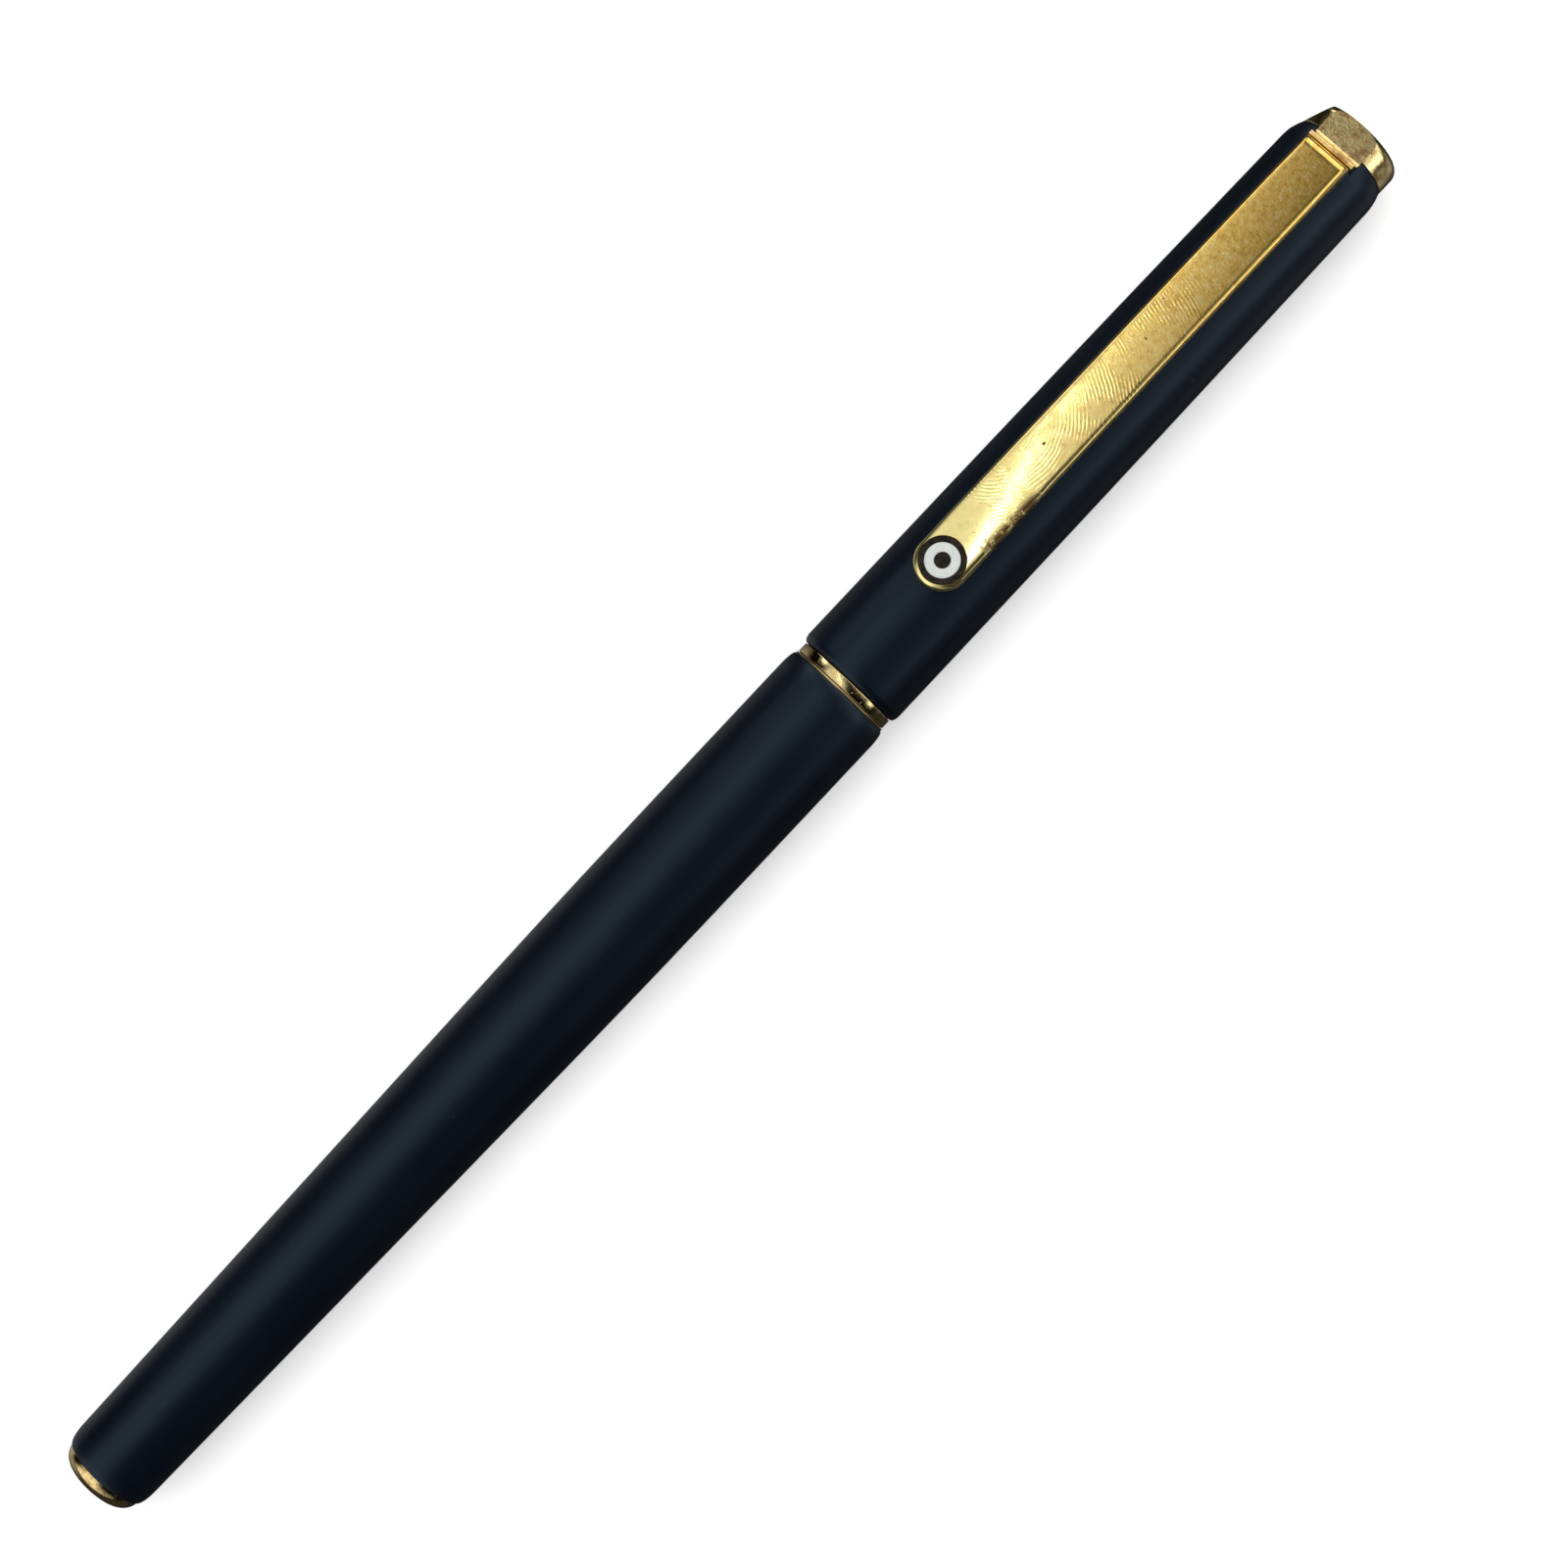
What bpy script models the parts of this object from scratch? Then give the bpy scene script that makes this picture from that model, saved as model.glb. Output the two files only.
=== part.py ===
"""A slim capped rollerball pen, lying on its side with the clip up, as a bench-strippable assembly.

Lengths are in millimetres and are turned into metres as each mesh is made. Most pieces are turned parts,
drawn as an outline of (s, r) points: s is the distance from the pen's tail, r the distance from its centre line.
The pen lies along X, from the tail at -X to the cap's top at +X, and rests on z = 0.
"""

import math

import bmesh
import bpy
from mathutils import Matrix, Vector

MM = 0.001
SEGMENTS = 24  # a flat, and not a corner, faces straight down on every turned piece
SMOOTH_ANGLE = math.radians(35)

# Driving dimensions
LENGTH = 135.0
BARREL_RADIUS = 4.48
BARREL_TAPER = 0.0168  # the barrel's back half is a long cone
BARREL_KNEE = 54.5  # where the cone eases into the straight front half
KNEE_EASE = 4.0
BARREL_FRONT = 79.4
CAP_MOUTH = 80.5
CAP_RADIUS = 4.47
CAP_BOW = 1.0e-4  # the cap narrows towards its top on a long arc
CAP_END = 132.85
FINIAL_RADIUS = 3.9
FINIAL_FILLET = 0.8
NOSE = 110.5  # front face of the grip section
BALL_CENTRE = 120.7
BALL_RADIUS = 0.35
REFILL_RADIUS = 3.0

THREAD_PITCH = 0.8
THREAD_DEPTH = 0.3
THREAD_START = 71.4
THREAD_END = 76.2
THREAD_FADE = 0.6
THREAD_ROWS = 6  # rows of vertices in one pitch
TENON_ROOT = 3.35
BUSH_ROOT = 3.75

CLIP_HALF_WIDTH = 2.05
CLIP_TIP = 89.05
CLIP_ROOT = 131.5
CLIP_TOP = 5.75  # height of the clip's face above the centre line at its root
CLIP_BOW = 0.22
CLIP_EDGE = 0.2
HINGE_S = 130.7
HINGE_HEIGHT = 4.3
BADGE_S = 91.18
BADGE_RADIUS = 1.78

FLAT_HEIGHT = 3.33  # the flat on the finial behind the clip, and the rib in front of it
RIB_START = 131.62
RIB_TOP = 4.78
BEVEL_START = 131.75  # the flat bevel on the +Y side of the cap's top
BEVEL_OFFSET = 4.2
BEVEL_SLOPE = 0.468
BEVEL_ROLL = math.radians(8.6)

AXIS_HEIGHT = BARREL_RADIUS * math.cos(math.pi / SEGMENTS)


def barrel_radius(s):
    ease = math.log1p(math.exp((BARREL_KNEE - s) / KNEE_EASE))
    return BARREL_RADIUS - BARREL_TAPER * KNEE_EASE * ease


def cap_radius(s):
    return CAP_RADIUS - CAP_BOW * (s - CAP_MOUTH) ** 2


def quarter(steep, flat, steps=4):
    """A quarter ellipse from steep, where it runs across the pen, to flat, where it runs along it."""
    points = []
    for i in range(steps + 1):
        turn = math.pi / 2 * i / steps
        s = steep[0] + (flat[0] - steep[0]) * (1 - math.cos(turn))
        r = steep[1] + (flat[1] - steep[1]) * math.sin(turn)
        points.append((s, r))
    return points


def empty(name, location, parent=None):
    made = bpy.data.objects.new(name, None)
    made.location = Vector(location) * MM
    made.parent = parent
    bpy.context.scene.collection.objects.link(made)
    return made


def finish(name, bm, material, parent):
    """A bmesh drawn in millimetres becomes the named object."""
    bmesh.ops.recalc_face_normals(bm, faces=bm.faces)
    bmesh.ops.scale(bm, vec=(MM, MM, MM), verts=bm.verts)
    mesh = bpy.data.meshes.new(name)
    bm.to_mesh(mesh)
    bm.free()
    mesh.shade_smooth()
    mesh.set_sharp_from_angle(angle=SMOOTH_ANGLE)
    made = bpy.data.objects.new(name, mesh)
    if material:
        mesh.materials.append(material)
    made.parent = parent
    bpy.context.scene.collection.objects.link(made)
    return made


def lathe(outline, segments=SEGMENTS):
    """The closed outline of (s, r) points spun about the X axis."""
    bm = bmesh.new()
    start = Matrix.Rotation(math.pi / segments, 3, "X")
    corners = [bm.verts.new(start @ Vector((s, 0, r))) for s, r in outline]
    edges = []
    for i, corner in enumerate(corners):
        following = corners[(i + 1) % len(corners)]
        if outline[i][1] > 0 or outline[(i + 1) % len(corners)][1] > 0:
            edges.append(bm.edges.new((corner, following)))
    bmesh.ops.spin(
        bm, geom=corners + edges, cent=(0, 0, 0), axis=(1, 0, 0), angle=math.tau, steps=segments, use_merge=True
    )
    bmesh.ops.remove_doubles(bm, verts=bm.verts, dist=1e-4)
    return bm


def turned(name, outline, material, parent, segments=SEGMENTS):
    return finish(name, lathe(outline, segments), material, parent)


def thread_rows(radius):
    """The outline's points along the thread, at the radius of its root."""
    count = round((THREAD_END - THREAD_START) / THREAD_PITCH * THREAD_ROWS)
    step = (THREAD_END - THREAD_START) / count
    return [(THREAD_START + i * step, radius) for i in range(count + 1)]


def cut_thread(bm, root, height):
    """Raises a right-hand helical ridge, of this height and sign, on the vertices at the root radius."""
    for vert in bm.verts:
        s, radius = vert.co.x, math.hypot(vert.co.y, vert.co.z)
        if abs(radius - root) > 1e-4 or not THREAD_START <= s <= THREAD_END:
            continue
        turn = math.atan2(vert.co.z, vert.co.y)
        wave = math.cos(math.tau * s / THREAD_PITCH - turn)
        crest = (1 + wave) / 2 if height > 0 else (1 - wave) / 2
        fade = min(1.0, (s - THREAD_START) / THREAD_FADE, (THREAD_END - s) / THREAD_FADE)
        scale = (radius + height * crest * max(0.0, fade)) / radius
        vert.co.y *= scale
        vert.co.z *= scale


def prism(name, outline, half_width, material, parent):
    """The outline of (s, height) points, extruded across the pen."""
    bm = bmesh.new()
    face = bm.faces.new([bm.verts.new((s, -half_width, height)) for s, height in outline])
    side = bmesh.ops.extrude_face_region(bm, geom=[face])["geom"]
    moved = [g for g in side if isinstance(g, bmesh.types.BMVert)]
    bmesh.ops.translate(bm, vec=(0, 2 * half_width, 0), verts=moved)
    return finish(name, bm, material, parent)


def block(name, low, high, parent):
    """A box-shaped cutter or lump between two corners."""
    outline = [(low[0], low[2]), (high[0], low[2]), (high[0], high[2]), (low[0], high[2])]
    made = prism(name, outline, (high[1] - low[1]) / 2, None, parent)
    made.location.y = (high[1] + low[1]) / 2 * MM
    return made


def combine(target, tool, operation):
    """A Boolean of target with tool, which is then a hidden helper."""
    modifier = target.modifiers.new(tool.name, "BOOLEAN")
    modifier.operation = operation
    modifier.solver = "EXACT"
    modifier.object = tool
    tool.hide_render = True
    tool.display_type = "WIRE"


def principled(name, colour, roughness, metallic):
    made = bpy.data.materials.new(name)
    made.use_nodes = True
    shader = made.node_tree.nodes["Principled BSDF"]
    shader.inputs["Base Color"].default_value = (*colour, 1)
    shader.inputs["Roughness"].default_value = roughness
    shader.inputs["Metallic"].default_value = metallic
    made.diffuse_color = (*colour, 1)
    return made


def make_materials():
    return {
        "lacquer": principled("matte_black_lacquer", (0.012, 0.016, 0.022), 0.48, 0.0),
        "gold": principled("gold_plate", (0.83, 0.60, 0.24), 0.18, 1.0),
        "brass": principled("plain_brass", (0.72, 0.56, 0.28), 0.35, 1.0),
        "steel": principled("stainless_steel", (0.62, 0.62, 0.60), 0.25, 1.0),
        "carbide": principled("tungsten_carbide", (0.35, 0.36, 0.38), 0.12, 1.0),
        "grip": principled("black_resin", (0.010, 0.010, 0.011), 0.22, 0.0),
        "liner": principled("cap_liner_plastic", (0.03, 0.03, 0.035), 0.45, 0.0),
        "tube": principled("refill_plastic", (0.55, 0.57, 0.58), 0.3, 0.0),
        "plug": principled("black_plastic", (0.02, 0.02, 0.02), 0.4, 0.0),
        "fibre": principled("ink_fibre", (0.02, 0.03, 0.12), 0.9, 0.0),
        "enamel": principled("dark_enamel", (0.02, 0.014, 0.01), 0.15, 0.0),
        "inlay": principled("pale_inlay", (0.60, 0.62, 0.63), 0.35, 0.0),
    }


def make_barrel(pen, mats):
    stations = [8, 16, 24, 32, 40, 46, 50, 54, 58, 62, 68, 74]
    rear = quarter((1.3, 3.25), (2.8, barrel_radius(2.8)))
    front = quarter((BARREL_FRONT, 4.24), (78.2, barrel_radius(78.2)))[::-1]
    outer = rear + [(s, barrel_radius(s)) for s in stations] + front
    bore = [(BARREL_FRONT, 3.99), (69.5, 3.99), (69.5, 3.8), (54, 3.8), (30, 3.5), (12, 3.2), (4.2, 3.12)]
    seat = [(4.2, 2.88), (1.3, 2.88)]
    turned("barrel_tube", outer + bore + seat, mats["lacquer"], pen)

    face = quarter((0.0, 1.7), (1.28, 3.22), 6)
    stem = [(1.28, 2.86), (4.55, 2.86), (4.55, 1.4), (5.6, 1.25), (5.6, 0)]
    turned("tail_plug", [(0, 0)] + face + stem, mats["gold"], pen)

    rim = [(70.0, 3.97), (79.43, 3.97), (79.43, 4.22), (79.57, 4.22), (79.57, 3.8), (76.4, 3.8)]
    bush = lathe(rim + thread_rows(BUSH_ROOT)[::-1] + [(70.0, BUSH_ROOT)])
    cut_thread(bush, BUSH_ROOT, -THREAD_DEPTH)
    finish("barrel_bush", bush, mats["brass"], pen)


def make_spring(pen, mats):
    """Pushes on the refill's back end from the tail plug."""
    start, end, coil, wire, turns, per_turn = 4.9, 12.1, 2.35, 0.22, 5, 14
    curve = bpy.data.curves.new("refill_spring", "CURVE")
    curve.dimensions = "3D"
    curve.bevel_depth = wire * MM
    curve.bevel_resolution = 1
    curve.use_fill_caps = True
    count = turns * per_turn
    spline = curve.splines.new("POLY")
    spline.points.add(count)
    for i, point in enumerate(spline.points):
        turn = math.tau * i / per_turn
        s = start + (end - start) * i / count
        point.co = (s * MM, coil * math.cos(turn) * MM, coil * math.sin(turn) * MM, 1)
    made = bpy.data.objects.new("refill_spring", curve)
    curve.materials.append(mats["steel"])
    made.parent = pen
    bpy.context.scene.collection.objects.link(made)


def make_refill(pen, mats):
    shoulder = NOSE - 8.2  # where the refill's flange seats in the grip section
    tube_end = shoulder - 0.35
    end_plug = [(12.4, 1.4), (12.4, 2.98), (13.1, 2.98), (13.1, 2.66), (16.6, 2.66), (16.6, 0)]
    end_plug += [(14.0, 0), (14.0, 1.4)]
    turned("refill_end_plug", end_plug, mats["plug"], pen)
    tube = [(13.15, 2.7), (13.15, REFILL_RADIUS), (tube_end, REFILL_RADIUS), (tube_end, 2.7)]
    turned("refill_tube", tube, mats["tube"], pen)
    reservoir = [(17.0, 0), (17.0, 2.6), (95.4, 2.6), (95.4, 0.6), (88.0, 0.6), (88.0, 0)]
    turned("ink_reservoir", reservoir, mats["fibre"], pen)
    wick = [(88.2, 0), (88.2, 0.54), (118.2, 0.54), (118.2, 0)]
    turned("feed_wick", wick, mats["fibre"], pen, 12)

    outside = [(96.0, 2.66), (tube_end + 0.05, 2.66), (tube_end + 0.05, 2.95), (shoulder - 0.05, 2.95)]
    barrel = [(shoulder - 0.05, 2.2), (107.2, 2.2), (107.5, 1.9), (112.3, 1.9), (112.5, 1.75)]
    bore = [(112.5, 1.17), (109.8, 1.17), (109.8, 0.62), (96.0, 0.62)]
    turned("refill_nose", outside + barrel + bore, mats["plug"], pen)

    centre = BALL_CENTRE
    stem = [(110.0, 1.13), (117.2, 1.13), (117.4, 1.05), (119.6, 0.62)]
    stem += [(centre - 0.2, 0.52), (centre + 0.16, 0.42)]
    socket = []
    for degrees in (64, 85, 105, 125, 145):
        turn = math.radians(degrees)
        reach = BALL_RADIUS + 0.035
        socket.append((centre + reach * math.cos(turn), reach * math.sin(turn)))
    socket[0] = (centre + 0.16, 0.336)
    channel = [(centre - 0.4, 0.2), (118.8, 0.2), (118.4, 0.62), (110.0, 0.62)]
    turned("refill_tip", stem + socket + channel, mats["steel"], pen, 16)

    bm = bmesh.new()
    bmesh.ops.create_uvsphere(bm, u_segments=12, v_segments=8, radius=BALL_RADIUS)
    ball = finish("writing_ball", bm, mats["carbide"], pen)
    ball.location = (centre * MM, 0, 0)


def make_section(pen, mats):
    seat = NOSE - 8.1
    tenon = [(70.3, 3.12), (70.3, 3.25), (70.5, TENON_ROOT)] + thread_rows(TENON_ROOT)
    land = [(76.3, TENON_ROOT), (76.3, 3.64), (80.44, 3.64), (80.44, 3.85)]
    groove = [(82.6, 3.85), (82.6, 3.5), (83.6, 3.5), (83.6, 3.85)]
    grip = [(86, 3.82), (92, 3.74), (98, 3.62), (102, 3.51), (106, 3.38), (109, 3.2), (110.2, 3.08)]
    grip += [(NOSE, 2.95)]
    bore = [(NOSE, 2.5), (107.5, 2.5), (107.5, 2.3), (seat, 2.3), (seat, 3.12)]
    section = lathe(tenon + land + groove + grip + bore)
    cut_thread(section, TENON_ROOT, THREAD_DEPTH)
    finish("grip_section", section, mats["grip"], pen)

    ring = [(79.64, 3.67), (79.64, 4.1), (79.69, 4.15), (80.36, 4.15), (80.41, 4.1), (80.41, 3.67)]
    turned("trim_ring", ring, mats["gold"], pen)

    cone = [(107.6, 2.02), (107.6, 2.44), (NOSE + 0.05, 2.44), (NOSE + 0.05, 2.95), (NOSE + 0.35, 2.98)]
    cone += [(112.5, 2.62), (115.0, 1.98), (116.4, 1.58), (116.75, 1.42), (116.8, 1.25)]
    cone += [(112.8, 1.25), (112.8, 2.02)]
    turned("nose_cone", cone, mats["gold"], pen)

    snap = turned("snap_ring", [(82.75, 3.58), (82.75, 3.88), (83.45, 3.88), (83.45, 3.58)], mats["steel"], pen)
    combine(snap, block("snap_ring_gap", (82, -0.4, -5), (84, 0.4, -3), pen), "DIFFERENCE")


def make_cap(pen, mats):
    mouth = quarter((CAP_MOUTH, 4.14), (81.15, cap_radius(81.15)))
    side = [(s, cap_radius(s)) for s in (88, 96, 104, 112, 120, 126, 131.2)]
    shoulder = [(131.7, 4.19), (132.2, 4.1), (132.55, 4.0), (CAP_END, 3.9)]
    inside = [(CAP_END, 3.1), (129.9, 3.1), (129.9, 3.82), (106, 3.99), (89, 4.1), (CAP_MOUTH, 4.1)]
    shell = turned("cap_tube", mouth + side + shoulder + inside, mats["lacquer"], pen)

    bush = [(80.9, 3.9), (80.9, 4.08), (88.5, 4.08), (88.5, 3.9)]
    bush += [(83.7, 3.9), (83.6, 3.98), (82.6, 3.98), (82.5, 3.9)]
    turned("cap_bush", bush, mats["brass"], pen)

    mouth_bore = [(104, 3.6), (106, 3.52), (110, 3.3), (110.8, 3.15), (111.3, 3.05)]
    mouth_bore += [(126.6, 3.05), (126.6, 0)]
    outside = [(127.4, 0), (127.4, 3.76), (106, 3.85), (104, 3.7)]
    turned("inner_cap", mouth_bore + outside, mats["liner"], pen)

    plug_outline = [(128.4, 1.0), (128.4, 3.76), (129.8, 3.76), (129.8, 3.06), (132.75, 3.06), (132.75, 1.0)]
    plug = turned("end_plug", plug_outline, mats["brass"], pen)
    head = [(127.5, 0), (127.5, 1.7), (128.3, 1.7), (128.3, 0.9), (134.0, 0.9), (134.0, 0)]
    screw = turned("finial_screw", head, mats["steel"], pen)
    combine(screw, block("screw_slot", (127, -0.2, -2), (127.9, 0.2, 2), pen), "DIFFERENCE")

    edge = quarter((LENGTH, FINIAL_RADIUS - FINIAL_FILLET), (LENGTH - FINIAL_FILLET, FINIAL_RADIUS))[::-1]
    disc = [(134.2, 0), (134.2, 0.98), (132.88, 0.98), (132.88, FINIAL_RADIUS)] + edge + [(LENGTH, 0)]
    finial = turned("finial", disc, mats["gold"], pen)
    rib = [(133.2, 3.15), (RIB_START, 3.15), (RIB_START, 4.7), (131.7, RIB_TOP), (131.95, RIB_TOP)]
    rib += [(132.03, 4.7), (132.1, 4.2), (132.2, 3.8), (132.4, 3.48), (132.6, FLAT_HEIGHT), (133.2, FLAT_HEIGHT)]
    combine(finial, prism("finial_rib", rib, CLIP_HALF_WIDTH - 0.02, None, pen), "UNION")

    over = 8.0  # past the cap's end and side
    side_wall = CLIP_HALF_WIDTH + 0.03
    notch = block("rib_notch", (RIB_START - 0.06, -side_wall, 2.2), (LENGTH, side_wall, over), pen)
    flat = block("finial_flat", (132.6, -over, FLAT_HEIGHT), (LENGTH + 1, over, over), pen)
    slot = block("clip_slot", (130.0, -1.25, 2.1), (131.35, 1.25, 6), pen)
    bevel = make_bevel(over, pen)
    cuts = [(shell, bevel), (shell, slot), (shell, notch), (plug, slot), (finial, flat), (finial, bevel)]
    for target, tool in cuts:
        combine(target, tool, "DIFFERENCE")


def make_bevel(over, pen):
    """The wedge that takes one side off the cap's top, turned a little about the pen's centre line."""
    corner = BEVEL_OFFSET - BEVEL_SLOPE * over
    end = BEVEL_START + over
    bm = bmesh.new()
    outline = [(BEVEL_START, BEVEL_OFFSET), (end, corner), (end, 2 * over), (BEVEL_START, 2 * over)]
    face = bm.faces.new([bm.verts.new((s, y, -over)) for s, y in outline])
    grown = bmesh.ops.extrude_face_region(bm, geom=[face])["geom"]
    moved = [g for g in grown if isinstance(g, bmesh.types.BMVert)]
    bmesh.ops.translate(bm, vec=(0, 0, 2 * over), verts=moved)
    bevel = finish("bevel_cutter", bm, None, pen)
    bevel.rotation_euler.x = BEVEL_ROLL
    return bevel


def clip_stations():
    """(s, half width, bottom, top) along the clip's arm, heights above the pen's centre line."""
    stations = []
    for turn in (12, 30, 50, 70, 90):
        s = CLIP_TIP + CLIP_HALF_WIDTH * (1 - math.cos(math.radians(turn)))
        stations.append((s, CLIP_HALF_WIDTH * math.sin(math.radians(turn))))
    stations += [(s, CLIP_HALF_WIDTH) for s in (92.6, 96, 102, 108, 114, 120, 126, 129.2, 129.8, CLIP_ROOT)]
    found = []
    for s, half_width in stations:
        along = (CLIP_ROOT - s) / (CLIP_ROOT - CLIP_TIP)
        top = CLIP_TOP + CLIP_BOW * math.sin(math.pi * along)
        bottom = top - (1.0 - 0.2 * along)
        if s < 93.2:  # the rounded foot under the badge, which grips the pocket
            bottom -= 0.42 * max(0.0, 1 - ((s - BADGE_S) / 2.2) ** 2)
        if s > 129.5:
            bottom = 4.37
        found.append((s, half_width, bottom, top))
    return found


def make_clip(pen, mats):
    hinge = empty("clip_hinge", (HINGE_S, 0, HINGE_HEIGHT), pen)
    bm = bmesh.new()
    rings = []
    for s, half, bottom, top in clip_stations():
        edge = min(CLIP_EDGE, 0.4 * half)
        section = [(-half, bottom), (half, bottom), (half, top - edge)]
        section += [(half - edge, top), (edge - half, top), (-half, top - edge)]
        rings.append([bm.verts.new((s, y, z)) for y, z in section])
    for ring, following in zip(rings, rings[1:]):
        for i in range(len(ring)):
            j = (i + 1) % len(ring)
            bm.faces.new((ring[i], ring[j], following[j], following[i]))
    bm.faces.new(rings[0])
    bm.faces.new(rings[-1])
    bmesh.ops.translate(bm, vec=(-HINGE_S, 0, -HINGE_HEIGHT), verts=bm.verts)
    arm = finish("clip_arm", bm, mats["gold"], hinge)
    combine(arm, block("clip_leg", (130.2, -1.1, 2.35), (131.2, 1.1, 4.9), pen), "UNION")

    face = CLIP_TOP + CLIP_BOW * math.sin(math.pi * (CLIP_ROOT - BADGE_S) / (CLIP_ROOT - CLIP_TIP)) - 0.02
    badge = empty("badge_centre", (BADGE_S - HINGE_S, 0, face - HINGE_HEIGHT), hinge)
    badge.rotation_euler = (0, -math.pi / 2, 0)
    rim = BADGE_RADIUS + 0.03
    well = turned("badge_well", [(-0.36, 0), (-0.36, rim), (1, rim), (1, 0)], None, badge)
    combine(arm, well, "DIFFERENCE")
    inner, outer, depth = 0.6, 1.33, 0.12
    disc = [(-0.33, 0), (-0.33, BADGE_RADIUS), (0, BADGE_RADIUS)]
    disc += [(0, outer), (-depth, outer), (-depth, inner), (0, inner), (0, 0)]
    turned("badge_disc", disc, mats["enamel"], badge)
    play = 0.02
    ring = [(play - depth, inner + play), (play - depth, outer - play), (play, outer - play), (play, inner + play)]
    turned("badge_inlay", ring, mats["inlay"], badge)


def main():
    for old in list(bpy.data.objects):
        bpy.data.objects.remove(old)
    mats = make_materials()
    pen = empty("pen_axis", (-LENGTH / 2, 0, AXIS_HEIGHT))
    make_barrel(pen, mats)
    make_spring(pen, mats)
    make_refill(pen, mats)
    make_section(pen, mats)
    make_cap(pen, mats)
    make_clip(pen, mats)


main()
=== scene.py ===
import math

import bpy
from mathutils import Matrix, Vector


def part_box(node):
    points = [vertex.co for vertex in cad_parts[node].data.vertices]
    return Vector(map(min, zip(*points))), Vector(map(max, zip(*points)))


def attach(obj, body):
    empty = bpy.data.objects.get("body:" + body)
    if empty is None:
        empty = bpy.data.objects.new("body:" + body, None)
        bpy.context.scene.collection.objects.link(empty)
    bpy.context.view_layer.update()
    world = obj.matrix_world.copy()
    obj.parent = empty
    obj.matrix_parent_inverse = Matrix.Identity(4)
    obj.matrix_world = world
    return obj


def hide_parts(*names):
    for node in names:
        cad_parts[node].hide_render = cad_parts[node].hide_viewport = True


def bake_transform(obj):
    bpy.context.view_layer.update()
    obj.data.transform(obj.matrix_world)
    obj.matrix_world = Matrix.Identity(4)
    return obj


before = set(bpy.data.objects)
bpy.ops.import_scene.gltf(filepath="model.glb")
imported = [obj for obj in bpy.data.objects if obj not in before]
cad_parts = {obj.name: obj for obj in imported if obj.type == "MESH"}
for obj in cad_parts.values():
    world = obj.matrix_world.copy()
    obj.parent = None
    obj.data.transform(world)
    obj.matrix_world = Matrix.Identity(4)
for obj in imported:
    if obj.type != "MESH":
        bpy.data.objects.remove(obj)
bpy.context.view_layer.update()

MM = 0.001
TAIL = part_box("tail_plug")[0].x
AXIS = (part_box("barrel_tube")[0].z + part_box("barrel_tube")[1].z) / 2
SIDES = 128

BARREL_RADIUS = 4.48
BARREL_TAPER = 0.0168
BARREL_KNEE = 54.5
KNEE_EASE = 4.0
CAP_MOUTH = 80.5
CAP_RADIUS = 4.47
CAP_BOW = 1.0e-4
CAP_END = 132.85
PEN_LENGTH = 135.0
CLIP_HALF_WIDTH = 2.05
CLIP_TIP = 89.05
CLIP_ROOT = 131.5
CLIP_TOP = 5.75
CLIP_BOW = 0.22
BADGE = 91.18
BADGE_RADIUS = 1.78
FLAT_HEIGHT = 3.33
BEVEL_START = 131.75
BEVEL_WIDTH = 4.2
BEVEL_SLOPE = 0.468
BEVEL_ROLL = math.radians(8.6)
LEG_SLOT = (130.0, -1.25, 2.1), (131.35, 1.25, 6)
THREAD_START = 71.4
THREAD_PITCH = 0.8
THREAD_TURNS = 6


def at(s, y=0.0, z=0.0):
    """A point given in millimetres: s from the pen's tail, y across it, z above its centre line."""
    return Vector((TAIL + s * MM, y * MM, AXIS + z * MM))


# ---------------------------------------------------------------- finishes


class Wire:
    """A socket whose arithmetic adds the Math nodes that it needs."""

    def __init__(self, nodes, socket):
        self.nodes = nodes
        self.socket = socket

    def _with(self, operation, *values):
        return self.nodes.node("ShaderNodeMath", {"operation": operation}, dict(enumerate(values)))

    def __add__(self, other):
        return self._with("ADD", self, other)

    __radd__ = __add__

    def __mul__(self, other):
        return self._with("MULTIPLY", self, other)

    __rmul__ = __mul__

    def __sub__(self, other):
        return self._with("SUBTRACT", self, other)

    def __rsub__(self, other):
        return self._with("SUBTRACT", other, self)

    def __abs__(self):
        return self._with("ABSOLUTE", self)

    def fade(self, low, high):
        """0 at low, 1 at high, and smooth between them."""
        limits = {"From Min": low, "From Max": high, "Value": self}
        return self.nodes.node("ShaderNodeMapRange", {"interpolation_type": "SMOOTHSTEP"}, limits)


class Nodes:
    """A node tree that grows by one method."""

    def __init__(self, tree):
        self.tree = tree

    def node(self, kind, settings=None, inputs=None, output=0):
        made = self.tree.nodes.new(kind)
        for key, value in (settings or {}).items():
            setattr(made, key, value)
        for key, value in (inputs or {}).items():
            if isinstance(value, Wire):
                self.tree.links.new(value.socket, made.inputs[key])
            else:
                made.inputs[key].default_value = value
        return Wire(self, made.outputs[output])

    def parts(self, vector):
        """The three numbers of a vector."""
        split = self.node("ShaderNodeSeparateXYZ", inputs={0: vector}).socket.node
        return [Wire(self, split.outputs[i]) for i in range(3)]


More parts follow.
